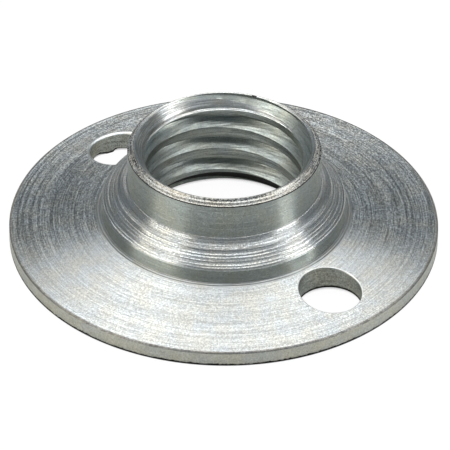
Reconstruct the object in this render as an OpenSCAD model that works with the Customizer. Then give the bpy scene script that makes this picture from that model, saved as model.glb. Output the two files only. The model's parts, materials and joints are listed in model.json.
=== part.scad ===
// Round flange nut, turned in one piece. A low cone of a flange carries a short pilot step, a flared
// neck and a straight boss, and a coarse right-hand thread runs right through. Two plain holes in the
// flange take the pins of a pin spanner. The nut stands on the ring outside the relief in its
// underside: the origin is at the centre of that face, and +Z points up the thread to the lip.

/* [Flange] */
// Outer diameter of the flange
flange_d = 38; // [36:0.5:60]
// Height of the rim's upright side
rim_h = 1.4; // [0.8:0.1:2]
// Height that the upper face climbs from the rim to the pilot
flange_rise = 1.35; // [0.4:0.05:2.5]
// Edge break all round the rim, above and below
rim_break = 0.1; // [0.05:0.05:0.3]

/* [Underside relief] */
// Depth of the relief below the standing ring
relief_depth = 0.35; // [0.1:0.05:0.8]
// Width of the ring that the nut stands on
standing_ring_w = 2.4; // [1.5:0.05:6]
// Width of the sloping side between the relief and the ring
relief_side_w = 0.35; // [0.1:0.05:1]

/* [Pilot and neck] */
// Diameter of the step that centres the clamped disc
pilot_d = 21.6; // [20:0.1:26]
// Height of the pilot step, its edge break included
pilot_h = 1.3; // [0.5:0.1:3]
// Edge break at the top of the pilot
pilot_break = 0.05; // [0.05:0.05:0.4]
// Height of the flared neck between the pilot and the boss
neck_h = 1.95; // [0.5:0.05:2.5]

/* [Boss] */
// Overall height of the nut, from the standing ring to the lip
overall_h = 9.8; // [8.4:0.1:20]
// Outer diameter of the boss
boss_d = 17.05; // [16.8:0.05:20]
// Outer bevel of the lip, equal in height and width
lip_bevel = 0.5; // [0.1:0.05:0.5]
// Width of the flat land left on top of the lip
lip_land = 0.1; // [0.05:0.05:0.2]

/* [Thread] */
// Major diameter of the thread, at the bottom of its groove
thread_major_d = 15.875; // [15:0.125:16]
// Threads to the inch
thread_tpi = 11; // [8:1:14]
// Depth of the thread's groove below the crests, which sets the bore
thread_depth = 0.9875; // [0.6:0.0125:1.2]
// Angle at which the middle of the groove leaves the standing plane
thread_start_deg = 68; // [0:1:360]
// Depth of the lead-in at the lip for each millimetre that it narrows
lead_in_slope = 1.25; // [0.6:0.05:2]
// Width of the chamfer at the lower mouth of the bore
lower_mouth_w = 0.95; // [0.5:0.05:1.5]
// Depth of the chamfer at the lower mouth for each millimetre that it narrows
lower_mouth_slope = 1.5; // [0.6:0.05:2]

/* [Pin holes] */
// Diameter of the two pin holes
pin_hole_d = 5.5; // [3:0.1:6]
// Metal left between the first hole and the rim
pin_land_1 = 1.95; // [1:0.05:5]
// Metal left between the second hole and the rim
pin_land_2 = 2.78; // [1:0.02:5]
// Angle by which the second hole misses the line through the first one and the axis
pin_skew_deg = 2.9; // [-5:0.1:5]

/* [Hidden] */

$fn = 180;
inch = 25.4;
flank_deg = 30;             // half of the 60 degree thread form
segments_per_turn = 48;
clear = 1;                  // how far a cutting body runs past the metal

flange_r = flange_d / 2;
ring_inner_r = flange_r - standing_ring_w;
relief_r = ring_inner_r - relief_side_w;
pilot_r = pilot_d / 2;
boss_r = boss_d / 2;
pilot_top_r = pilot_r - pilot_break;
thread_major_r = thread_major_d / 2;
bore_r = thread_major_r - thread_depth;
lower_mouth_r = bore_r + lower_mouth_w;

pilot_foot_z = rim_h + flange_rise;
neck_foot_z = pilot_foot_z + pilot_h;
boss_foot_z = neck_foot_z + neck_h;

lip_outer_r = boss_r - lip_bevel;
lip_inner_r = lip_outer_r - lip_land;
lead_in_h = (lip_inner_r - bore_r) * lead_in_slope;
lower_mouth_h = lower_mouth_w * lower_mouth_slope;

pitch = inch / thread_tpi;
root_flat = pitch / 8;
// The groove is cut from a little inside the bore, so that it opens cleanly
groove_inner_r = bore_r - 0.4;
groove_half_root = root_flat / 2;
groove_half_mouth = groove_half_root + (thread_major_r - groove_inner_r) * tan(flank_deg);

// Half section of the blank, from the axis outwards and up
blank_section = [
    [0, relief_depth],
    [relief_r, relief_depth],
    [ring_inner_r, 0],
    [flange_r - rim_break, 0],
    [flange_r, rim_break],
    [flange_r, rim_h - rim_break],
    [flange_r - rim_break, rim_h],
    [pilot_r, pilot_foot_z],
    [pilot_r, neck_foot_z - pilot_break],
    [pilot_top_r, neck_foot_z],
    [boss_r, boss_foot_z],
    [boss_r, overall_h - lip_bevel],
    [lip_outer_r, overall_h],
    [0, overall_h],
];

// Half section of what is bored out: the bore, its lower mouth and the lead-in at the lip
bore_section = [
    [0, -clear],
    [lower_mouth_r, -clear],
    [lower_mouth_r, relief_depth],
    [bore_r, relief_depth + lower_mouth_h],
    [bore_r, overall_h - lead_in_h],
    [lip_inner_r, overall_h],
    [lip_inner_r, overall_h + clear],
    [0, overall_h + clear],
];

// Corners of the thread groove's section, as radius and height about the groove's middle
groove_section = [
    [groove_inner_r, -groove_half_mouth],
    [thread_major_r, -groove_half_root],
    [thread_major_r, groove_half_root],
    [groove_inner_r, groove_half_mouth],
];

// The groove as a solid: its section carried up a right-hand helix from below the nut to above it
module thread_groove() {
    corners = len(groove_section);
    turns_below = ceil((clear + groove_half_mouth) / pitch);
    turns_above = ceil((overall_h + clear + groove_half_mouth) / pitch);
    first = -turns_below * segments_per_turn;
    last = turns_above * segments_per_turn;
    rings = last - first + 1;
    points = [
        for (step = [first : last])
            let (turn = step / segments_per_turn)
            let (angle = thread_start_deg + 360 * turn)
            for (corner = groove_section)
                [corner[0] * cos(angle), corner[0] * sin(angle), pitch * turn + corner[1]]
    ];
    sides = [
        for (ring = [0 : rings - 2])
            for (c = [0 : corners - 1])
                let (a = ring * corners + c)
                let (b = ring * corners + (c + 1) % corners)
                for (face = [[a, b, a + corners], [b, b + corners, a + corners]])
                    face
    ];
    first_cap = [for (c = [corners - 1 : -1 : 0]) c];
    last_cap = [for (c = [0 : corners - 1]) (rings - 1) * corners + c];
    polyhedron(points = points, faces = concat([first_cap], sides, [last_cap]));
}

// One pin hole, through the flange at the given angle, leaving the given land to the rim
module pin_hole(angle, land) {
    rotate([0, 0, angle])
        translate([flange_r - land - pin_hole_d / 2, 0, -clear])
            cylinder(d = pin_hole_d, h = overall_h + 2 * clear);
}

module flange_nut() {
    color("silver")
        difference() {
            rotate_extrude() polygon(blank_section);
            rotate_extrude() polygon(bore_section);
            thread_groove();
            pin_hole(0, pin_land_1);
            pin_hole(180 + pin_skew_deg, pin_land_2);
        }
}

flange_nut();
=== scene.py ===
"""Round flange nut, turned from steel and zinc plated, on a plain pale studio floor."""

import json
import math
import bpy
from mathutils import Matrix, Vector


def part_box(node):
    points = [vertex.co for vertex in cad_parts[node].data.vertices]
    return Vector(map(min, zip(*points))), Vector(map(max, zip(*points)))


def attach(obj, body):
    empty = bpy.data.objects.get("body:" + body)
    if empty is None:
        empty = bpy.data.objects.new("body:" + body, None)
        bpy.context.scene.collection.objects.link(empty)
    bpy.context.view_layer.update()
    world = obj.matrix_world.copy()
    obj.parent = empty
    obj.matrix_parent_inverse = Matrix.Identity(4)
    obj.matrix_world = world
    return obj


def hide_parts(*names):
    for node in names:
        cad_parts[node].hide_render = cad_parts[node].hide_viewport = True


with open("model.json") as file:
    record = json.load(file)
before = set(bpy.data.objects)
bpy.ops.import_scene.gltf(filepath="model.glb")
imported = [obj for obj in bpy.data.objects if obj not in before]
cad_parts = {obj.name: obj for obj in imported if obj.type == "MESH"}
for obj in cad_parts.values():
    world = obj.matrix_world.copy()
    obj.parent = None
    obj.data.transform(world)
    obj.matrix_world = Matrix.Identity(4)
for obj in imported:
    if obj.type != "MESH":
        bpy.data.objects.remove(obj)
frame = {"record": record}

from types import SimpleNamespace

import bpy
from bpy.props import FloatProperty, FloatVectorProperty, IntProperty, PointerProperty
from mathutils import Matrix, Vector

bl_info = {
    "name": "Round Flange Nut",
    "version": (1, 0, 0),
    "blender": (4, 5, 0),
    "location": "3D View > Sidebar > Flange Nut",
    "description": "Builds a turned and plated round flange nut, its thread, pin holes and studio stage",
    "category": "Add Mesh",
}

NODE = "flange_nut"
MM = 0.001
# Radius of a fine edge, a hair's gap, and a length beyond every part of the nut
FINE, HAIR, FAR = 0.03 * MM, 0.01 * MM, 1.0
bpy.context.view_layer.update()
LOW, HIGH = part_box(NODE)
MOUNTS = {mount["name"]: mount for mount in frame["record"]["mounts"]}
FINISHES = ("wall", "flange", "foot", "neck", "lip", "lead_in", "thread", "rim", "darker", "underside", "drilled",
            "burred", "rolled", "painted_shade")

# Steps round a pin hole, in one turn of the thread, and along the burr
HOLE_SEGMENTS, THREAD_STEPS, BURR_STATIONS = 144, 96, 60
# Share of its shorter side that a rounded corner may take, and share of the arc between it and its support points
CORNER_ROOM, CORNER_MARGIN = 0.45, 0.25
# Half the thread's included angle
FLANK = math.tan(math.radians(30))
# Edges steeper than this are shaded sharp
SHARP_ANGLE = math.radians(32)

# Feed marks: share of the way along the slope, then height above it and half width in mm
NECK_MARKS = ((0.06, 0.028, 0.06), (0.14, 0.016, 0.045), (0.27, 0.02, 0.05), (0.37, 0.016, 0.045),
              (0.46, 0.016, 0.045), (0.61, 0.028, 0.05), (0.965, 0.024, 0.05))
LEAD_IN_MARKS = ((0.385, 0.008, 0.08), (0.54, 0.008, 0.06), (0.66, 0.008, 0.06), (0.87, -0.045, 0.1))
# Ridges at the pilot's foot: distance from the pilot and height, in mm
FOOT_RIDGES = ((0.56, 0), (0.42, 0.045), (0.32, 0), (0.26, 0), (0.17, 0.04), (0.08, 0))
# Uneven bevel of the lip: distance in from the boss and height above the bevel's foot, in mm
LIP_FACETS = ((0, -0.09), (0.04, -0.05), (0.02, 0), (0.16, 0.08), (0.22, 0.26), (0.36, 0.32))

# Burrs on the lip: scale and detail of their noise, how it is centred, and their height
BURR_NOISE = {"Scale": 2600.0, "Detail": 1.0}
BURR_CENTRE = (0.5, 0.5, 0.85)
BURR_HEIGHT = 0.05 * MM
# Burr at the second pin hole: angle from the hole's outer side in degrees, and share of its full drop
BURR_SHAPE = ((-74, 0.12), (-37, 0.12), (-31, 0.4), (-26, 0.95), (-20, 1.0), (-14, 1.0), (-6, 0.7), (2, 0.35),
              (11, 0.15), (44, 0.12))
BURR_THICKNESS, BURR_LAP, BURR_LEAN, BURR_EDGE = 0.16 * MM, 0.05 * MM, 0.16 * MM, 0.12 * MM

# Where the rolled edge of a pin hole starts to widen, as a share of the hole's radius from its middle
ROLL_START = -0.3

# Tool marks: how fine, how short, and place in the noise
BROAD_MARKS, PLAIN_MARKS, SHORT_MARKS = (0.35, 0.5, 0.0), (1.0, 1.0, 7.3), (1.5, 4.0, 3.1)
# Plating noise: scale of each output against the grain's
GRAIN_SCALES = {"Grain": 1.0, "Cloud": 0.06, "Patches": 0.25}
GRAIN_GAIN = 3.0
# Tone and roughness follow the specks between these limits
TONE_SPAN = (-0.4, 0.8, 0.6, 1.8)
SHINE_LOW, SHINE_HIGH = -0.25, 0.5
TINT_SPAN = 0.12
WARM_TINT, COOL_TINT = (1.025, 1.0, 0.955), (0.975, 1.0, 1.035)

# Lamps: the overhead one by two corners, as right, back and up from the nut in the camera's view, and radiance; the
# side ones by azimuth from the camera's right, half width, low and high edge in degrees, radiance and colour
OVERHEAD_LAMP = ((-0.42, -0.25, 0.6), (0.45, 0.64, 0.6), 2.1)
SIDE_LAMPS = {"left softbox": (-155, 21, 0, 52, 1.9, (1.0, 0.96, 0.88)),
              "right softbox": (-17, 12, 0, 40, 3.6, (1.0, 1.0, 1.0))}
LAMP_DISTANCE = 0.6
SKY_COLOUR, SKY_STRENGTH = (0.76, 0.89, 1.0, 1.0), 0.235
# Floor: half its side, reach of the painted contact shadow in its glow, how open it has to be to glow fully, its glow
# and the share of it that is seen; then how far a reflection travels before it is pale, nearer than that painted shade
FLOOR_HALF = 1.5
SHADOW_REACH, SHADOW_OPEN, FLOOR_GLOW, GLOW_SHARE = 0.9 * MM, 0.35, 1.04, 0.93
PALE_FROM, PALE_AT = 5 * MM, 90 * MM
# Camera: width of its sensor, nearest distance seen, and shift of the view as a share of its width
SENSOR_WIDTH, CLIP_START, VIEW_SHIFT = 36, 0.01, 1 / 900


def mount_radius(name):
    """Radius in metres of a round mount in the record."""
    return MOUNTS[name]["dims"]["r_mm"] * MM


def mount_place(name):
    """Distance from the axis and angle about it of a mount in the record."""
    x, y, _ = MOUNTS[name]["pos_m"]
    return math.hypot(x, y), math.atan2(y, x)


HOLE_PLACES = {"Hole 1": mount_place("pin_hole_1"), "Hole 2": mount_place("pin_hole_2")}


# ---------------------------------------------------------------- properties


def length(name, description, default):
    return FloatProperty(name=name, description=description, default=default, min=0.0,
                         unit="LENGTH", subtype="DISTANCE", precision=5)


def angle(name, description, degrees):
    return FloatProperty(name=name, description=description, default=math.radians(degrees),
                         subtype="ANGLE", unit="ROTATION")


def colour(name, description, default):
    return FloatVectorProperty(name=name, description=description, size=3, subtype="COLOR", min=0, max=1,
                               default=default)


class NutSizes(bpy.types.PropertyGroup):
    """Sizes of the turned nut, in metres."""

    flange_d: length("Flange diameter", "Outer diameter of the flange", HIGH.x - LOW.x)
    rim_h: length("Rim height", "Height of the rim's upright side", 1.4 * MM)
    flange_rise: length("Flange rise", "Climb of the upper face from rim to pilot", 1.35 * MM)
    rim_break: length("Rim break", "Edge break all round the rim", 0.1 * MM)
    relief_depth: length("Relief depth", "Depth of the relief in the underside", 0.35 * MM)
    ring_w: length("Standing ring", "Width of the ring the nut stands on", 2.4 * MM)
    relief_side_w: length("Relief side", "Width of the slope beside the ring", 0.35 * MM)
    pilot_d: length("Pilot diameter", "Diameter of the pilot step", 2 * mount_radius("pilot"))
    pilot_h: length("Pilot height", "Height of the pilot step", 1.3 * MM)
    pilot_break: length("Pilot break", "Edge break at the top of the pilot", 0.05 * MM)
    neck_h: length("Neck height", "Height of the flared neck", 1.95 * MM)
    overall_h: length("Overall height", "Height from standing ring to lip", HIGH.z)
    boss_d: length("Boss diameter", "Outer diameter of the boss", 17.05 * MM)
    lip_bevel: length("Lip bevel", "Outer bevel of the lip", 0.5 * MM)
    lip_land: length("Lip land", "Width of the land on the lip", 0.1 * MM)
    thread_d: length("Thread diameter", "Major diameter of the thread", 15.875 * MM)
    thread_pitch: length("Thread pitch", "Rise of the thread in one turn", 25.4 / 11 * MM)
    bore_d: length("Bore diameter", "Diameter over the thread's crests", 2 * mount_radius("thread"))
    thread_start: angle("Thread start", "Angle of the groove at the standing plane", 68)
    crest_round: length("Crest rounding", "Rounding of the thread's upper crest edge", 0.08 * MM)
    crest_cut: length("Crest cut", "How far the thread's lower crest edge is cut back", 0.12 * MM)
    lead_in_slope: FloatProperty(name="Lead-in slope", description="Depth of the lead-in for its width", default=1.25)
    mouth_w: length("Lower mouth", "Width of the chamfer at the lower mouth", 0.95 * MM)
    mouth_slope: FloatProperty(name="Lower mouth slope", description="Depth of the lower chamfer for its width",
                               default=1.5)
    hole_d: length("Pin hole diameter", "Diameter of the two pin holes", 2 * mount_radius("pin_hole_1"))
    hole_1_roll: length("First hole's edge", "Width of the rolled edge of the first hole", 0.12 * MM)
    hole_2_roll: length("Second hole's edge", "Width of the rolled edge of the second hole", 0.34 * MM)
    hole_1_inner: FloatProperty(name="First hole's inner edge", default=0.12, min=0.05, max=1.0,
                                description="Share of the rolled edge left on the side nearest the boss")
    hole_2_inner: FloatProperty(name="Second hole's inner edge", default=0.15, min=0.05, max=1.0,
                                description="Share of the rolled edge left on the side nearest the boss")
    segments: IntProperty(name="Turning segments", description="Segments round the nut", default=300, min=48)
    nick_size: length("Nick size", "Size of the nick in the lip", 0.28 * MM)
    nick_angle: angle("Nick angle", "Place of the nick round the lip", 120)
    burr_drop: length("Burr drop", "How far the burr hangs below the second hole", 0.33 * MM)
    seed: IntProperty(name="Seed", description="Seed for burrs on the lip", default=4)


class NutFinish(bpy.types.PropertyGroup):
    """Colours of the plated steel."""

    plating: colour("Plating", "Colour of the bright zinc plating", (0.62, 0.63, 0.61))
    dull: colour("Dull steel", "Colour of the hole walls and the worn edge", (0.40, 0.39, 0.36))
    lip: colour("Lip", "Colour of the ragged lip", (0.385, 0.375, 0.345))
    rim: colour("Rim", "Colour of the matt rim", (0.49, 0.49, 0.437))


class StageSettings(bpy.types.PropertyGroup):
    """Floor and camera."""

    floor: colour("Floor", "Colour of the floor", (0.68, 0.68, 0.68))
    camera_distance: length("Camera distance", "Distance from the camera to the nut", 0.5)
    camera_elevation: angle("Camera elevation", "Height angle of the camera", 36.69)
    camera_azimuth: angle("Camera azimuth", "Angle of the camera about the nut", -40.7)
    camera_roll: angle("Camera roll", "Tilt of the picture", 0.5)
    view_width: length("View width", "Width of the view at the nut", 39.893617 * MM)
    aim_right: length("Aim to the right", "How far right of the axis the camera aims", 0.16 * MM)
    aim_up: length("Aim height", "Height above the floor at which the camera aims", 0.96 * MM)


# ---------------------------------------------------------------- sections of the nut


def derived(s):
    """Radii, heights and slope that follow from the nut's sizes."""
    d = SimpleNamespace(flange_r=s.flange_d / 2, pilot_r=s.pilot_d / 2, boss_r=s.boss_d / 2, bore_r=s.bore_d / 2,
                        major_r=s.thread_d / 2)
    d.pilot_foot = s.rim_h + s.flange_rise
    d.neck_foot = d.pilot_foot + s.pilot_h
    d.boss_foot = d.neck_foot + s.neck_h
    d.lip_r = d.boss_r - s.lip_bevel
    d.lip_in = d.lip_r - s.lip_land
    d.lip_low = s.overall_h - s.lip_bevel
    d.lead_foot = s.overall_h - (d.lip_in - d.bore_r) * s.lead_in_slope
    d.mouth_top = s.relief_depth + s.mouth_w * s.mouth_slope
    d.slope = s.flange_rise / (d.flange_r - s.rim_break - d.pilot_r)
    return d


def corner_arc(before, corner, after, radius):
    """Points of a rounded corner, with a support point beside each end; a corner of no radius stays one point."""
    if not radius:
        return [corner]
    steps = 2 if radius <= FINE else 4
    to_before, to_after = (before - corner), (after - corner)
    room = CORNER_ROOM * min(to_before.length, to_after.length)
    u, v = to_before.normalized(), to_after.normalized()
    reach = min(radius / math.tan(u.angle(v) / 2), room)
    start, end = corner + u * reach, corner + v * reach
    arc = []
    for step in range(steps + 1):
        t = step / steps
        arc.append(start * (1 - t) ** 2 + corner * (2 * t * (1 - t)) + end * t ** 2)
    margin = CORNER_MARGIN * reach
    return [start + u * margin, *arc, end + v * margin]


def rounded(corners):
    """Closed outline with each corner rounded by its own radius."""
    points = []
    count = len(corners)
    for i, (r, z, radius) in enumerate(corners):
        before = Vector(corners[i - 1][:2])
        after = Vector(corners[(i + 1) % count][:2])
        points += corner_arc(before, Vector((r, z)), after, radius)
    return points


def raised_marks(start, end, marks):
    """Corners of the feed marks along a slope."""
    along = end - start
    out = Vector((along.y, -along.x)).normalized()
    points = []
    for share, height, half in marks:
        middle = start + along * share
        step = along.normalized() * half * MM
        points += [middle - step, middle + out * height * MM, middle + step]
    return [(p.x, p.y, 0) for p in points]


def nut_section(s, d):
    """Closed half section of the nut as radius and height, from the lead-in down to the lower mouth."""

    def on_flange(r, lift=0):
        return (r, d.pilot_foot - (r - d.pilot_r) * d.slope + lift, 0)

    ring_r = d.flange_r - s.ring_w
    pilot_top = Vector((d.pilot_r - s.pilot_break, d.neck_foot))
    outline = rounded([
        (d.bore_r + s.mouth_w, s.relief_depth, FINE),
        (ring_r - s.relief_side_w, s.relief_depth, 0.12 * MM),
        (ring_r, 0, 0.06 * MM),
        (d.flange_r - s.rim_break, 0, FINE),
        (d.flange_r, s.rim_break, FINE),
        (d.flange_r, s.rim_h - s.rim_break, FINE),
        (d.flange_r - s.rim_break, s.rim_h, FINE),
        on_flange(d.flange_r - s.rim_break - 0.12 * MM),
        *[on_flange(d.pilot_r + out * MM, lift * MM) for out, lift in FOOT_RIDGES],
        (d.pilot_r, d.pilot_foot, 0.05 * MM),
        (d.pilot_r, d.neck_foot - s.pilot_break, FINE),
        (*pilot_top, FINE),
        *raised_marks(pilot_top, Vector((d.boss_r, d.boss_foot)), NECK_MARKS),
        (d.boss_r, d.boss_foot, 0.15 * MM),
        *[(d.boss_r - inward * MM, d.lip_low + up * MM, FINE) for inward, up in LIP_FACETS],
        (d.lip_r, s.overall_h, FINE),
        (d.lip_in + 0.06 * MM, s.overall_h, FINE),
        (d.lip_in - 0.16 * MM, s.overall_h - 0.14 * MM, 0.06 * MM),
        *raised_marks(Vector((d.lip_in, s.overall_h)), Vector((d.bore_r, d.lead_foot)), LEAD_IN_MARKS),
        (d.bore_r - 0.03 * MM, d.lead_foot + 0.03 * MM, FINE),
        (d.bore_r, d.lead_foot - 0.14 * MM, FINE),
        (d.bore_r, d.mouth_top, 0.08 * MM),
    ])
    return outline[::-1]


def groove_section(s, d):
    """Closed section of the thread's groove about its middle, rounded or cut back where it meets the crests."""
    root = s.thread_pitch / 16
    mouth = root + (d.major_r - d.bore_r) * FLANK
    inside = d.bore_r - 0.4 * MM
    arc = []
    for degrees in range(60, -1, -10):
        turn = math.radians(degrees)
        arc.append((d.bore_r + s.crest_round * (1 - math.cos(turn)),
                    -mouth - s.crest_round * (FLANK - math.sin(turn))))
    return [Vector(p) for p in (
        (inside, mouth + s.crest_cut), (d.bore_r, mouth + s.crest_cut),
        (d.major_r - FINE, root + FINE * FLANK), (d.major_r, root - FINE),
        (d.major_r, FINE - root), (d.major_r - FINE, -root - FINE * FLANK),
        *arc, (inside, arc[-1][1]))]


def roll_section():
    """Closed section, one unit wide, that rolls the upper edge of a pin hole."""
    turns = [math.radians(degrees) for degrees in range(90, 181, 10)]
    arc = [(1 + math.cos(turn), math.sin(turn) - 1) for turn in turns]
    return [Vector(p) for p in ((-0.8, 0.5), (1, 0.5), *arc, (-0.8, -1))]


# ---------------------------------------------------------------- node helpers


def feed(tree, value, target):
    """Sets a socket from another socket or from a plain value."""
    if isinstance(value, bpy.types.NodeSocket):
        tree.links.new(value, target)
    else:
        target.default_value = value


def add(tree, kind, inputs=None, **settings):
    """New node of a kind, with its plain settings made and its inputs fed."""
    node = tree.nodes.new(kind)
    for key, value in settings.items():
        setattr(node, key, value)
    for name, value in (inputs or {}).items():
        feed(tree, value, node.inputs[name])
    return node


def new_group(name, kind, inputs, outputs):
    """Node group; inputs are given by name and default, None for geometry, and outputs by name and kind."""
    tree = bpy.data.node_groups.new(name, kind)
    for label, default in inputs.items():
        socket_kind = {int: "Int", float: "Float"}.get(type(default), "Geometry")
        made = tree.interface.new_socket(name=label, in_out="INPUT", socket_type="NodeSocket" + socket_kind)
        if default is not None:
            made.default_value = default
    for label, socket_kind in outputs.items():
        tree.interface.new_socket(name=label, in_out="OUTPUT", socket_type="NodeSocket" + socket_kind)
    return tree, add(tree, "NodeGroupInput").outputs, add(tree, "NodeGroupOutput").inputs


def use(tree, name, inputs):
    """Node that runs a group."""
    return add(tree, tree.bl_idname.replace("Tree", "Group"), inputs, node_tree=bpy.data.node_groups[name])


def calc(tree, operation, *values):
    """Result of a Math node."""
    return add(tree, "ShaderNodeMath", dict(enumerate(values)), operation=operation).outputs[0]


def times(tree, one, other):
    return calc(tree, "MULTIPLY", one, other)


def plus(tree, one, other):
    return calc(tree, "ADD", one, other)


def vector_calc(tree, operation, *values):
    """Result of a Vector Math node: a number for a length, or else a vector."""
    node = add(tree, "ShaderNodeVectorMath", dict(enumerate(values)), operation=operation)
    return node.outputs["Value" if operation == "LENGTH" else "Vector"]


def scaled(tree, vector, factor):
    return add(tree, "ShaderNodeVectorMath", {0: vector, "Scale": factor}, operation="SCALE").outputs[0]


def separated(tree, vector):
    """The three parts of a vector."""
    return add(tree, "ShaderNodeSeparateXYZ", {0: vector}).outputs


def combined(tree, *parts):
    """Vector made of up to three parts."""
    return add(tree, "ShaderNodeCombineXYZ", dict(enumerate(parts))).outputs[0]


def position(tree):
    return add(tree, "GeometryNodeInputPosition").outputs[0]


def off_axis(tree, x, y):
    """Distance from the axis of a point in plan."""
    return calc(tree, "SQRT", plus(tree, times(tree, x, x), times(tree, y, y)))


def noise(tree, inputs):
    return add(tree, "ShaderNodeTexNoise", inputs, noise_dimensions="4D").outputs


def ramp(tree, value, low, high, out_low, out_high):
    """Remaps a value from one span to another, clamped."""
    return add(tree, "ShaderNodeMapRange", {"Value": value, "From Min": low, "From Max": high,
                                            "To Min": out_low, "To Max": out_high}).outputs["Result"]


# ---------------------------------------------------------------- geometry nodes


def moved(tree, geometry, shift=None, turn=None, scale=None):
    """Geometry carried by a shift, a turn or an even scale."""
    inputs = {"Geometry": geometry}
    for values, target in ((shift, "Translation"), (turn, "Rotation"), ((scale,) * 3 if scale else None, "Scale")):
        if values is not None:
            inputs[target] = combined(tree, *values)
    return add(tree, "GeometryNodeTransform", inputs).outputs[0]


def swept(tree, profile, path):
    """Carries a section, drawn as radius and height, along a path about the axis."""
    upright = add(tree, "GeometryNodeSetCurveNormal", {"Curve": path}, mode="Z_UP").outputs[0]
    return add(tree, "GeometryNodeCurveToMesh",
               {"Curve": upright, "Profile Curve": profile, "Fill Caps": True}).outputs[0]


def marked(tree, geometry, finish, selection=True):
    """Notes a finish on the chosen faces, by its place in the list of finishes."""
    number = FINISHES.index(finish) if isinstance(finish, str) else finish
    return add(tree, "GeometryNodeStoreNamedAttribute",
               {"Geometry": geometry, "Name": "finish", "Value": number, "Selection": selection},
               data_type="INT", domain="FACE").outputs[0]


def noted(tree, name):
    """Whole number noted on the geometry under a name."""
    return add(tree, "GeometryNodeInputNamedAttribute", {"Name": name}, data_type="INT").outputs["Attribute"]


def same(tree, value, number):
    """Whether a whole number is the given one."""
    return add(tree, "FunctionNodeCompare", {"A": value, "B": number}, data_type="INT", operation="EQUAL").outputs[0]


def painted(tree, geometry, materials):
    """Gives every face the material of the finish noted on it."""
    finish = noted(tree, "finish")
    for number, name in enumerate(FINISHES):
        geometry = add(tree, "GeometryNodeSetMaterial", {
            "Geometry": geometry, "Material": materials[name], "Selection": same(tree, finish, number)}).outputs[0]
    return add(tree, "GeometryNodeRemoveAttribute", {"Geometry": geometry, "Name": "finish"}).outputs[0]


def circle(tree, segments, radius):
    return add(tree, "GeometryNodeCurvePrimitiveCircle", {"Resolution": segments, "Radius": radius},
               mode="RADIUS").outputs[0]


def zone_group():
    """Picks the faces in a ring between two radii and two heights."""
    bounds = ("Inner Radius", "Outer Radius", "Low", "High")
    tree, given, result = new_group("Within Ring", "GeometryNodeTree", dict.fromkeys(bounds, 0.0),
                                    {"Selection": "Bool"})
    x, y, height = separated(tree, position(tree))
    radius = off_axis(tree, x, y)
    every = calc(tree, "GREATER_THAN", radius, given["Inner Radius"])
    for operation, value, bound in (("LESS_THAN", radius, "Outer Radius"), ("GREATER_THAN", height, "Low"),
                                    ("LESS_THAN", height, "High")):
        every = times(tree, every, calc(tree, operation, value, given[bound]))
    feed(tree, every, result[0])


def within_ring(tree, inner, outer, low, high):
    """Selection of the faces in a ring."""
    return use(tree, "Within Ring", {"Inner Radius": inner, "Outer Radius": outer, "Low": low, "High": high}).outputs[0]


def pin_hole_group():
    """A pin hole's cutting body: a plain cylinder and the ring that rolls its upper edge."""
    numbers = ("Radius", "Distance", "Angle", "Surface Height", "Surface Slope", "Edge Width", "Inner Share", "Length")
    tree, given, result = new_group("Pin Hole Cutter", "GeometryNodeTree", {
        "Roll Section": None, **dict.fromkeys(numbers, 0.0), "Wall Finish": 0}, {"Cutter": "Geometry"})
    hole = add(tree, "GeometryNodeMeshCylinder", {
        "Vertices": HOLE_SEGMENTS, "Radius": given["Radius"], "Depth": given["Length"]}, fill_type="NGON")
    outward = calc(tree, "DIVIDE", separated(tree, position(tree))[0], given["Radius"])
    varied = add(tree, "GeometryNodeSetCurveRadius", {
        "Curve": circle(tree, HOLE_SEGMENTS, given["Radius"]),
        "Radius": ramp(tree, outward, ROLL_START, 1.0, given["Inner Share"], 1.0)}).outputs[0]
    section = moved(tree, given["Roll Section"], scale=given["Edge Width"])
    roll = moved(tree, marked(tree, swept(tree, section, varied), "rolled"),
                 turn=(0.0, given["Surface Slope"], 0.0), shift=(0.0, 0.0, given["Surface Height"]))
    # The ring follows the cone of the flange's face, which falls away on both sides of the hole
    x, y, _ = separated(tree, position(tree))
    ahead = plus(tree, x, given["Distance"])
    fall = times(tree, calc(tree, "SUBTRACT", ahead, off_axis(tree, ahead, y)),
                 calc(tree, "TANGENT", given["Surface Slope"]))
    draped = add(tree, "GeometryNodeSetPosition", {"Geometry": roll, "Offset": combined(tree, 0.0, 0.0, fall)})
    both = add(tree, "GeometryNodeMeshBoolean", {1: marked(tree, hole.outputs["Mesh"], given["Wall Finish"])},
               operation="UNION", solver="MANIFOLD")
    feed(tree, draped.outputs[0], both.inputs[1])
    cutter = moved(tree, both.outputs[0], shift=(given["Distance"], 0.0, 0.0))
    feed(tree, moved(tree, cutter, turn=(0.0, 0.0, given["Angle"])), result[0])


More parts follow.
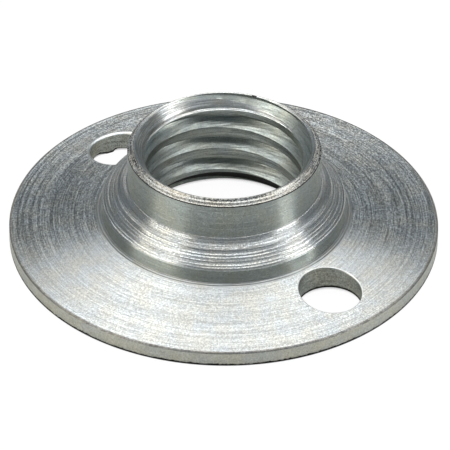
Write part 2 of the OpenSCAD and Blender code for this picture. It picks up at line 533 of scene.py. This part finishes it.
def turned_nut_tree(values, zones, threaded, materials):
    """Turns the section into the blank, cuts the thread and the pin holes, and paints each zone."""
    tree, given, result = new_group("Turned Flange Nut", "GeometryNodeTree", {"Sections": None, **values},
                                    {"Nut": "Geometry"})
    kind = noted(tree, "section")
    profiles = []
    for number in range(3):
        apart = add(tree, "GeometryNodeSeparateGeometry", {
            "Geometry": given["Sections"], "Selection": same(tree, kind, number)}, domain="POINT")
        profiles.append(add(tree, "GeometryNodeMeshToCurve", {"Mesh": apart.outputs[0]}).outputs[0])
    nut_profile, groove_profile, roll_profile = profiles
    blank = swept(tree, nut_profile, circle(tree, given["Turning Segments"], given["Spin Radius"]))

    # Burrs: the lip's rings and the lead-in's foot are pushed about a little, more where the noise peaks
    rough = noise(tree, {**BURR_NOISE, "Vector": position(tree), "W": given["Seed"]})["Color"]
    push = scaled(tree, vector_calc(tree, "SUBTRACT", rough, BURR_CENTRE), given["Burr Height"])
    for ring in ("Lip", "Bead"):
        bounds = [given[ring + side] for side in (" Inner", " Outer", " Low", " High")]
        blank = add(tree, "GeometryNodeSetPosition", {
            "Geometry": blank, "Selection": within_ring(tree, *bounds), "Offset": push}).outputs[0]
    blank = marked(tree, blank, "wall")
    for finish, *bounds in zones:
        blank = marked(tree, blank, finish, within_ring(tree, *bounds))

    spiral = add(tree, "GeometryNodeCurveSpiral", {
        "Resolution": THREAD_STEPS, "Rotations": given["Thread Turns"], "Start Radius": given["Spin Radius"],
        "End Radius": given["Spin Radius"], "Height": times(tree, given["Thread Turns"], given["Thread Pitch"]),
        "Reverse": True})
    helix = moved(tree, spiral.outputs[0], shift=(0.0, 0.0, given["Thread Foot"]),
                  turn=(0.0, 0.0, given["Thread Start"]))
    cut = add(tree, "GeometryNodeMeshBoolean", {
        0: blank, 1: marked(tree, swept(tree, groove_profile, helix), "thread")},
        operation="DIFFERENCE", solver="MANIFOLD")
    for hole, wall in (("Hole 1", "drilled"), ("Hole 2", "burred")):
        fall = times(tree, given[hole + " Distance"], given["Flange Slope"])
        cutter = use(tree, "Pin Hole Cutter", {
            "Roll Section": roll_profile, "Radius": given["Hole Radius"], "Length": given["Hole Length"],
            "Distance": given[hole + " Distance"], "Angle": given[hole + " Angle"],
            "Edge Width": given[hole + " Edge"], "Inner Share": given[hole + " Inner Share"],
            "Surface Slope": given["Slope Angle"],
            "Surface Height": calc(tree, "SUBTRACT", given["Flange Top"], fall),
            "Wall Finish": FINISHES.index(wall)})
        feed(tree, cutter.outputs[0], cut.inputs[1])

    nick = add(tree, "GeometryNodeMeshIcoSphere", {"Subdivisions": 2, "Radius": given["Nick Size"]}).outputs[0]
    nick = moved(tree, nick, shift=(given["Nick Distance"], 0.0, given["Nick Height"]))
    nick = moved(tree, nick, turn=(0.0, 0.0, given["Nick Angle"]))
    # The nick is coloured with near-black painted shade
    feed(tree, marked(tree, nick, "painted_shade"), cut.inputs[1])

    real = add(tree, "GeometryNodeRealizeInstances", {0: cut.outputs[0]}).outputs[0]
    real = marked(tree, real, "thread", within_ring(tree, *threaded))
    feed(tree, painted(tree, real, materials), result[0])
    return tree


def nut_inputs(s, d):
    """Values of the nut tree's named inputs."""
    turns_below = 1
    values = {
        "Turning Segments": s.segments,
        "Spin Radius": d.bore_r,
        "Thread Pitch": s.thread_pitch,
        "Thread Turns": float(math.ceil(s.overall_h / s.thread_pitch) + 2 * turns_below),
        "Thread Start": s.thread_start,
        "Thread Foot": -turns_below * s.thread_pitch,
        "Hole Radius": s.hole_d / 2,
        "Hole 1 Edge": s.hole_1_roll,
        "Hole 1 Inner Share": s.hole_1_inner,
        "Hole 2 Edge": s.hole_2_roll,
        "Hole 2 Inner Share": s.hole_2_inner,
        "Flange Slope": d.slope,
        "Slope Angle": math.atan(d.slope),
        "Flange Top": d.pilot_foot + d.pilot_r * d.slope,
        "Hole Length": 4 * s.overall_h,
        "Burr Height": BURR_HEIGHT,
        "Lip Low": d.lip_low + 0.02 * MM,
        "Lip High": 2 * s.overall_h,
        "Lip Inner": d.lip_in - 0.02 * MM,
        "Lip Outer": s.boss_d,
        "Bead Low": d.lead_foot - 0.08 * MM,
        "Bead High": d.lead_foot + 0.1 * MM,
        "Bead Inner": 0.0,
        "Bead Outer": d.bore_r + 0.1 * MM,
        "Nick Size": s.nick_size,
        "Nick Distance": d.lip_in + 0.12 * MM,
        "Nick Height": s.overall_h,
        "Nick Angle": s.nick_angle,
        "Seed": s.seed,
    }
    for hole, (distance, turn) in HOLE_PLACES.items():
        values[hole + " Distance"], values[hole + " Angle"] = distance, turn
    return values


def nut_zones(s, d):
    """Finish, inner and outer radius, lowest and highest face of each zone of the blank; a later zone wins."""
    return (
        ("flange", d.pilot_r + HAIR, d.flange_r - HAIR, s.rim_h / 2, d.pilot_foot + 5 * HAIR),
        ("foot", d.pilot_r, d.pilot_r + 0.6 * MM, s.rim_h, d.pilot_foot + 5 * HAIR),
        ("rim", d.flange_r - 0.07 * MM, FAR, -FAR, s.rim_h - s.rim_break + HAIR),
        # A darker band along the rim's top edge
        ("darker", d.flange_r - s.rim_break - 0.11 * MM, FAR, s.rim_h - s.rim_break, s.rim_h + 0.1 * MM),
        ("underside", 0.0, d.flange_r - 0.07 * MM, -FAR, s.relief_depth + HAIR),
        ("neck", d.boss_r - HAIR, d.pilot_r - s.pilot_break + HAIR, d.neck_foot, d.boss_foot + 3 * HAIR),
        # Painted shade: a dark line in the crease under the lip, and the lower mouth's chamfer darkened for its shaded
        # reflection
        ("painted_shade", d.boss_r - 0.05 * MM, d.boss_r, d.lip_low - 0.1 * MM, d.lip_low),
        ("painted_shade", d.bore_r, d.bore_r + s.mouth_w + HAIR, s.relief_depth, d.mouth_top),
        ("lip", d.lip_in + 0.04 * MM, FAR, d.lip_low - HAIR, FAR),
        ("lead_in", d.bore_r, d.lip_in + 0.05 * MM, d.lead_foot - 3 * HAIR, s.overall_h - HAIR),
    )


def thread_zone(d):
    """Inner and outer radius, lowest and highest face of the threaded part of the bore."""
    return 0.0, d.major_r + HAIR, d.mouth_top, d.lead_foot - 3 * HAIR


# ---------------------------------------------------------------- meshes


def linked(name, mesh):
    """New object of a mesh, in the scene."""
    obj = bpy.data.objects.new(name, mesh)
    bpy.context.scene.collection.objects.link(obj)
    return obj


def section_object(s, d):
    """Mesh of the three closed sections, drawn about the paths that carry them."""
    mesh = bpy.data.meshes.new("nut sections")
    points, edges, kinds = [], [], []
    sections = ((nut_section(s, d), d.bore_r), (groove_section(s, d), d.bore_r), (roll_section(), 0.0))
    for number, (outline, path_r) in enumerate(sections):
        first, count = len(points), len(outline)
        points += [(p.x - path_r, -p.y, 0.0) for p in outline]
        edges += [(first + i, first + (i + 1) % count) for i in range(count)]
        kinds += [number] * count
    mesh.from_pydata(points, edges, [])
    mesh.attributes.new("section", "INT", "POINT").data.foreach_set("value", kinds)
    return linked("flange_nut_body", mesh)


def burr_size(turn):
    """Share of the burr's full drop at an angle, eased between the places in its table."""
    size = 0.0
    for (angle_0, size_0), (angle_1, size_1) in zip(BURR_SHAPE, BURR_SHAPE[1:]):
        if angle_0 <= turn <= angle_1:
            share = (turn - angle_0) / (angle_1 - angle_0)
            size = size_0 + (size_1 - size_0) * share * share * (3 - 2 * share)
    return size


def hole_burr(s, bright, dark):
    """Thin burr left hanging all along the outer foot of the second pin hole, with painted shade along its lower edge.
    """
    distance, hole_turn = HOLE_PLACES["Hole 2"]
    middle_x, middle_y = distance * math.cos(hole_turn), distance * math.sin(hole_turn)
    start, end = BURR_SHAPE[0][0], BURR_SHAPE[-1][0]
    points = []
    for station in range(BURR_STATIONS + 1):
        turn = start + (end - start) * station / BURR_STATIONS
        size = burr_size(turn)
        direction = hole_turn + math.radians(turn)
        drop, lean = s.burr_drop * size, BURR_LEAN * size
        upper = max(0.0, drop - BURR_EDGE)
        for out, down in ((BURR_LAP, -BURR_LAP), (-lean * upper / drop, upper), (-lean, drop),
                          (BURR_THICKNESS - lean, drop * 0.9), (BURR_THICKNESS, -BURR_LAP)):
            r = s.hole_d / 2 + out
            points.append((middle_x + r * math.cos(direction), middle_y + r * math.sin(direction),
                           s.relief_depth - down))
    sides = 5
    faces, slots = [], []
    for station in range(BURR_STATIONS):
        first = sides * station
        for side in range(sides):
            other = (side + 1) % sides
            faces.append((first + side, first + sides + side, first + sides + other, first + other))
            # Sides 1 and 2, along the lower edge, take the painted shade
            slots.append(1 if side in (1, 2) else 0)
    faces += [tuple(range(sides)), tuple(sides * BURR_STATIONS + side for side in reversed(range(sides)))]
    mesh = bpy.data.meshes.new("pin_hole_burr")
    mesh.from_pydata(points, [], faces)
    mesh.materials.append(bright)
    mesh.materials.append(dark)
    mesh.polygons.foreach_set("material_index", [*slots, 0, 0])
    return linked("pin_hole_burr", mesh)


def set_inputs(modifier, values):
    """Fills a modifier's inputs, found by name and set by identifier."""
    for item in modifier.node_group.interface.items_tree:
        if item.item_type == "SOCKET" and item.in_out == "INPUT" and item.name in values:
            modifier[item.identifier] = values[item.name]


def freeze(obj):
    """Replaces an object's mesh by its modifiers' result."""
    graph = bpy.context.evaluated_depsgraph_get()
    mesh = bpy.data.meshes.new_from_object(obj.evaluated_get(graph), depsgraph=graph)
    obj.modifiers.clear()
    old = obj.data
    obj.data = mesh
    bpy.data.meshes.remove(old)
    mesh.name = obj.name
    while None in mesh.materials[:]:
        mesh.materials.pop(index=mesh.materials[:].index(None))


def sharpen(mesh):
    """Smooth shading, with sharp edges at steep corners and round every cut face."""
    mesh.set_sharp_from_angle(angle=SHARP_ANGLE)
    cut_slots = [slot for slot, material in enumerate(mesh.materials) if material.get("is_cut")]
    sides = {}
    for face in mesh.polygons:
        for key in face.edge_keys:
            sides.setdefault(key, []).append(face)
    for edge in mesh.edges:
        first, second = sides[edge.key]
        if (first.material_index in cut_slots) != (second.material_index in cut_slots):
            edge.use_edge_sharp = True


# ---------------------------------------------------------------- finishes


def object_place(tree):
    return add(tree, "ShaderNodeTexCoord").outputs["Object"]


def tool_marks_group():
    """Lathe marks that run round the axis: their height, and how far each one lightens or darkens the metal."""
    tree, given, result = new_group("Tool Marks", "ShaderNodeTree", {
        "Along Radius": 1.0, "Along Height": 0.0, "Mark Width": 0.12 * MM, "Marks Around": 3.0, "Seed": 0.0},
        {"Height": "Float", "Marks": "Float"})
    x, y, height = separated(tree, object_place(tree))
    flat = combined(tree, x, y)
    along = plus(tree, times(tree, vector_calc(tree, "LENGTH", flat), given["Along Radius"]),
                 times(tree, height, given["Along Height"]))
    along = calc(tree, "DIVIDE", along, given["Mark Width"])
    around = separated(tree, scaled(tree, vector_calc(tree, "NORMALIZE", flat), given["Marks Around"]))

    def streaks(fineness, shortness, offset):
        at = combined(tree, times(tree, along, fineness), times(tree, around[0], shortness),
                      times(tree, around[1], shortness))
        made = noise(tree, {"Scale": 1.0, "Detail": 0.5, "Vector": at, "W": plus(tree, given["Seed"], offset)})
        return calc(tree, "SUBTRACT", made["Fac"], 0.5)

    broad, plain, short = streaks(*BROAD_MARKS), streaks(*PLAIN_MARKS), streaks(*SHORT_MARKS)
    feed(tree, plus(tree, broad, plain), result["Height"])
    feed(tree, plus(tree, times(tree, plus(tree, plain, short), 2.0), broad), result["Marks"])


def grain_group():
    """Fine mottling of the plating, the slow drift of its tint, and patches."""
    tree, given, result = new_group("Plating Grain", "ShaderNodeTree", {"Grain Size": 0.12 * MM, "Seed": 0.0},
                                    dict.fromkeys(GRAIN_SCALES, "Float"))
    where = object_place(tree)
    for name, share in GRAIN_SCALES.items():
        made = noise(tree, {"Detail": 2.0, "Roughness": 0.7, "Vector": where, "W": given["Seed"],
                            "Scale": calc(tree, "DIVIDE", share, given["Grain Size"])})
        feed(tree, calc(tree, "SUBTRACT", made["Fac"], 0.5), result[name])


def turned_steel(name, base, along, rough, stretch, width, around=3.0, marks=0.3, grain=0.3, bump=0.01, seed=0.0,
                 sway=0.3, foot=None, is_cut=False):
    """Plated steel with tool marks round the axis: sharp across the light, spread along the section.

    along is the section's direction as radius and height, width a mark's width in mm, and around how short the
    marks are. sway is how much smoother the lighter specks are. foot paints shade on the lowest part, a painted
    contact shadow: its low and high edge in mm, its darkest share, and how far it wanders in mm.
    """
    material = bpy.data.materials.new(name)
    material["is_cut"] = is_cut
    material.use_nodes = True
    tree = material.node_tree
    tree.nodes.clear()
    lathe = use(tree, "Tool Marks", {"Along Radius": along[0], "Along Height": along[1], "Mark Width": width * MM,
                                     "Marks Around": around, "Seed": seed}).outputs
    plating = use(tree, "Plating Grain", {"Seed": seed}).outputs
    speck = plus(tree, times(tree, lathe["Marks"], marks), times(tree, plating["Grain"], GRAIN_GAIN * grain))
    tone = ramp(tree, speck, *TONE_SPAN)
    # Painted shade: the lowest band is darkened as a painted contact shadow
    if foot:
        low, high, darkest, wander = foot
        height = plus(tree, separated(tree, object_place(tree))[2], times(tree, plating["Patches"], wander * MM))
        tone = times(tree, tone, ramp(tree, height, low * MM, high * MM, darkest, 1.0))
    warm, cool = [(*(part * share for part, share in zip(base, tint)), 1.0) for tint in (WARM_TINT, COOL_TINT)]
    tinted = add(tree, "ShaderNodeMix", {
        "Factor": ramp(tree, plating["Cloud"], -TINT_SPAN, TINT_SPAN, 0.0, 1.0), 6: warm, 7: cool},
        data_type="RGBA").outputs[2]
    relief = add(tree, "ShaderNodeBump", {"Distance": bump * MM, "Height": lathe["Height"]})
    shader = add(tree, "ShaderNodeBsdfPrincipled", {
        "Base Color": scaled(tree, tinted, tone),
        "Roughness": ramp(tree, speck, SHINE_LOW, SHINE_HIGH, rough * (1 + sway / 2), rough * (1 - sway)),
        "Metallic": 1.0, "Anisotropic": stretch, "Anisotropic Rotation": 0.25,
        "Tangent": add(tree, "ShaderNodeTangent", direction_type="RADIAL", axis="Z").outputs[0],
        "Normal": relief.outputs[0]})
    add(tree, "ShaderNodeOutputMaterial", {0: shader.outputs[0]})
    return material


def nut_materials(finish):
    """The finishes of the nut's zones."""
    tool_marks_group()
    grain_group()
    steel, dull, lip, rim = (tuple(tone) for tone in (finish.plating, finish.dull, finish.lip, finish.rim))
    flat, upright, neck, lead = (1.0, -0.16), (0.0, 1.0), (-0.75, 0.66), (0.62, 0.78)

    def shade(tone, share):
        return tuple(part * share for part in tone)

    def greenish(tone, share=1.0):
        return shade((tone[0] * 0.97, tone[1] * 1.02, tone[2] * 0.98), share)

    matt = {"along": upright, "width": 0.3, "bump": 0.002}
    cut = {**matt, "is_cut": True}
    drilled = {**cut, "base": greenish(dull), "rough": 0.5, "stretch": 0.3, "grain": 0.9}
    rows = {
        "flange": dict(name="plated flange face", base=shade(steel, 0.77), along=flat, rough=0.35, stretch=0.85,
                       width=0.075, around=1.8, marks=0.62, grain=1.2, seed=1.0, sway=-0.36),
        "foot": dict(name="plated pilot foot", base=shade(steel, 0.62), along=flat, rough=0.38, stretch=0.6,
                     width=0.1, around=2.0, seed=1.5),
        "wall": dict(name="plated turned wall", base=greenish(steel, 0.635), along=upright, rough=0.3, stretch=0.95,
                     width=0.1, around=2.0, marks=0.2, grain=0.45, bump=0.004, seed=2.0),
        "neck": dict(name="plated neck", base=shade(steel, 0.65), along=neck, rough=0.33, stretch=0.9,
                     width=0.08, around=1.2, marks=0.7, grain=0.9, seed=3.0),
        "lip": dict(name="plated lip", base=lip, along=upright, rough=0.33, stretch=0.5,
                    width=0.1, around=2.0, marks=0.6, grain=1.9, bump=0.03, seed=4.0, sway=-0.45),
        "lead_in": dict(name="plated lead-in", base=shade(steel, 0.84), along=lead, rough=0.35, stretch=0.8,
                        width=0.1, around=1.5, marks=0.75, grain=0.4, seed=12.0),
        "thread": dict(name="plated thread", base=greenish(steel, 0.64), along=upright, rough=0.36, stretch=0.3,
                       width=0.09, around=2.0, marks=0.5, grain=0.4, bump=0.006, seed=6.0),
        "underside": dict(name="plated underside", base=steel, along=flat, rough=0.42, stretch=0.9,
                          width=0.2, marks=0.2, grain=0.25, seed=9.0),
        # The first hole's wall carries painted shade at its foot
        "drilled": dict(drilled, name="drilled wall", seed=7.0, foot=(0.48, 0.61, 0.02, 0.2)),
        "burred": dict(drilled, name="drilled wall with a burr", seed=7.2),
        "rolled": dict(cut, name="rolled hole edge", base=steel, rough=0.36, stretch=0.0, marks=0.1, seed=7.5),
        # The rim's foot carries a painted contact shadow
        "rim": dict(matt, name="matt rim", base=rim, rough=0.55, stretch=0.3, around=30.0, marks=0.08, grain=0.4,
                    seed=8.0, foot=(0.22, 0.32, 0.03, 0.35)),
        "darker": dict(cut, name="worn rim edge", base=shade(dull, 0.6), rough=0.5, stretch=0.0, around=30.0, marks=0.2,
                     grain=0.9, seed=8.5),
        # Near-black painted shade, used for the nick, the crease under the lip, the lower mouth's chamfer and the
        # burr's lower edge
        "painted_shade": dict(cut, name="unplated crevice", base=shade(dull, 0.12), rough=0.6, stretch=0.0, marks=0.1,
                        seed=10.0),
    }
    return {zone: turned_steel(**row) for zone, row in rows.items()}


# ---------------------------------------------------------------- operators


class NUT_OT_body(bpy.types.Operator):
    """Turn the nut, cut its thread and pin holes, and plate it"""

    bl_idname = "nut.body"
    bl_label = "Build Flange Nut"

    def execute(self, context):
        s = context.scene.nut_sizes
        d = derived(s)
        materials = nut_materials(context.scene.nut_finish)
        zone_group()
        pin_hole_group()
        values = nut_inputs(s, d)
        nut = section_object(s, d)
        modifier = nut.modifiers.new("Turned Flange Nut", "NODES")
        modifier.node_group = turned_nut_tree(values, nut_zones(s, d), thread_zone(d), materials)
        set_inputs(modifier, values)
        freeze(nut)
        if not nut.data.polygons:
            raise RuntimeError("the nut came out empty")
        sharpen(nut.data)
        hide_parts(NODE)
        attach(nut, "root")
        # The burr's lower edge gets the near-black painted shade
        burr = hole_burr(s, materials["burred"], materials["painted_shade"])
        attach(burr, "root")
        return {"FINISHED"}


def soft_lamp(name, corner_low, corner_high, facing, radiance, tone=(1.0, 1.0, 1.0)):
    """Soft rectangular lamp between two corners, given as right, back and up from the nut in the camera's view."""
    spin = Matrix.Rotation(bpy.context.scene.nut_stage.camera_azimuth + math.pi / 2, 3, "Z")
    low, high = spin @ Vector(corner_low), spin @ Vector(corner_high)
    back = -(spin @ Vector(facing)).normalized()
    is_level = abs(facing[2]) > 0.9
    wide = spin @ (Vector((1, 0, 0)) if is_level else Vector((-facing[1], facing[0], 0)).normalized())
    tall = back.cross(wide)
    span = high - low
    lamp = bpy.data.lights.new(name, "AREA")
    lamp.shape = "RECTANGLE"
    lamp.size, lamp.size_y = abs(span.dot(wide)), abs(span.dot(tall))
    lamp.energy = radiance * math.pi * lamp.size * lamp.size_y
    lamp.color = tone
    axes = Matrix((wide, tall, back)).transposed().to_4x4()
    linked(name, lamp).matrix_world = Matrix.Translation((low + high) / 2) @ axes


def side_lamp(name, azimuth, half_width, low, high, radiance, tone):
    """Upright soft lamp beside the nut, given by its angles in degrees from the camera's right."""
    turn, rise = math.radians(azimuth), math.radians((low + high) / 2)
    out = Vector((math.cos(rise) * math.cos(turn), math.cos(rise) * math.sin(turn), math.sin(rise)))
    wide = Vector((-math.sin(turn), math.cos(turn), 0))
    half_w, half_h = (LAMP_DISTANCE * math.tan(math.radians(half)) for half in (half_width, (high - low) / 2))
    middle, corner = out * LAMP_DISTANCE, wide * half_w + out.cross(wide) * half_h
    soft_lamp(name, middle - corner, middle + corner, -out, radiance, tone)


def floor_material(tone):
    """Pale floor that shows white to the camera and to reflections, and keeps the nut's shadow: lit in its diffuse
    share, painted into its glow.
    """
    material = bpy.data.materials.new("pale floor")
    material.use_nodes = True
    tree = material.node_tree
    tree.nodes.clear()
    shade = add(tree, "ShaderNodeBsdfDiffuse", {"Color": (*tone, 1)})
    # Painted contact shadow: the glow fades where ambient occlusion finds the nut close by
    painted_contact_shadow = add(tree, "ShaderNodeAmbientOcclusion", {"Distance": SHADOW_REACH})
    glow = add(tree, "ShaderNodeEmission", {
        "Strength": ramp(tree, painted_contact_shadow.outputs["AO"], 0.0, SHADOW_OPEN, 0.0, FLOOR_GLOW)})
    path = add(tree, "ShaderNodeLightPath").outputs
    mirrored = calc(tree, "MAXIMUM", path["Is Glossy Ray"], path["Is Transmission Ray"])
    # Painted shade in reflections: floor seen only a short way off in the nut's faces does not glow
    clear = ramp(tree, path["Ray Length"], PALE_FROM, PALE_AT, 0.0, 1.0)
    seen = calc(tree, "MAXIMUM", path["Is Camera Ray"], times(tree, mirrored, clear))
    mix = add(tree, "ShaderNodeMixShader", {0: times(tree, seen, GLOW_SHARE), 1: shade.outputs[0],
                                            2: glow.outputs[0]})
    add(tree, "ShaderNodeOutputMaterial", {0: mix.outputs[0]})
    return material


def place_camera(stage):
    """Camera that looks down at the nut from its front."""
    rise, turn, roll = stage.camera_elevation, stage.camera_azimuth, stage.camera_roll
    forward = -Vector((math.cos(rise) * math.cos(turn), math.cos(rise) * math.sin(turn), math.sin(rise)))
    right = Vector((-math.sin(turn), math.cos(turn), 0))
    up = right.cross(forward)
    axes = Matrix((right * math.cos(roll) + up * math.sin(roll), up * math.cos(roll) - right * math.sin(roll),
                   -forward)).transposed().to_4x4()
    target = right * stage.aim_right + Vector((0, 0, stage.aim_up))
    camera = linked("camera", bpy.data.cameras.new("camera"))
    camera.matrix_world = Matrix.Translation(target - forward * stage.camera_distance) @ axes
    camera.data.sensor_width = SENSOR_WIDTH
    camera.data.lens = SENSOR_WIDTH * stage.camera_distance / stage.view_width
    camera.data.shift_x, camera.data.shift_y = -VIEW_SHIFT, VIEW_SHIFT
    camera.data.clip_start = CLIP_START
    return camera


class NUT_OT_stage(bpy.types.Operator):
    """Add the pale floor, the soft lamps and the camera"""

    bl_idname = "nut.stage"
    bl_label = "Build Stage"

    def execute(self, context):
        scene = context.scene
        mesh = bpy.data.meshes.new("studio_floor")
        signs = ((-1, -1), (1, -1), (1, 1), (-1, 1))
        mesh.from_pydata([(x * FLOOR_HALF, y * FLOOR_HALF, 0) for x, y in signs], [], [(0, 1, 2, 3)])
        mesh.materials.append(floor_material(scene.nut_stage.floor))
        floor = linked("studio_floor", mesh)

        low, high, radiance = OVERHEAD_LAMP
        soft_lamp("overhead softbox", low, high, (0, 0, -1), radiance)
        for name, values in SIDE_LAMPS.items():
            side_lamp(name, *values)

        scene.world = bpy.data.worlds.new("studio")
        scene.world.use_nodes = True
        background = scene.world.node_tree.nodes["Background"]
        background.inputs["Color"].default_value = SKY_COLOUR
        background.inputs["Strength"].default_value = SKY_STRENGTH

        scene.camera = place_camera(scene.nut_stage)
        scene.view_settings.view_transform = "Standard"
        return {"FINISHED"}


class NUT_PT_panel(bpy.types.Panel):
    """Sizes, finish and stage of the flange nut"""

    bl_idname = "NUT_PT_panel"
    bl_label = "Round Flange Nut"
    bl_space_type = "VIEW_3D"
    bl_region_type = "UI"
    bl_category = "Flange Nut"

    def draw(self, context):
        layout = self.layout
        for title, group in (("Sizes", context.scene.nut_sizes), ("Finish", context.scene.nut_finish),
                             ("Stage", context.scene.nut_stage)):
            box = layout.box()
            box.label(text=title)
            for name in group.__annotations__:
                box.prop(group, name)
        layout.operator(NUT_OT_body.bl_idname)
        layout.operator(NUT_OT_stage.bl_idname)


CLASSES = (NutSizes, NutFinish, StageSettings, NUT_OT_body, NUT_OT_stage, NUT_PT_panel)


def register():
    for cls in CLASSES:
        bpy.utils.register_class(cls)
    bpy.types.Scene.nut_sizes = PointerProperty(type=NutSizes)
    bpy.types.Scene.nut_finish = PointerProperty(type=NutFinish)
    bpy.types.Scene.nut_stage = PointerProperty(type=StageSettings)


def unregister():
    del bpy.types.Scene.nut_stage
    del bpy.types.Scene.nut_finish
    del bpy.types.Scene.nut_sizes
    for cls in reversed(CLASSES):
        bpy.utils.unregister_class(cls)


def main():
    register()
    bpy.ops.nut.body()
    bpy.ops.nut.stage()


if __name__ == "__main__":
    main()
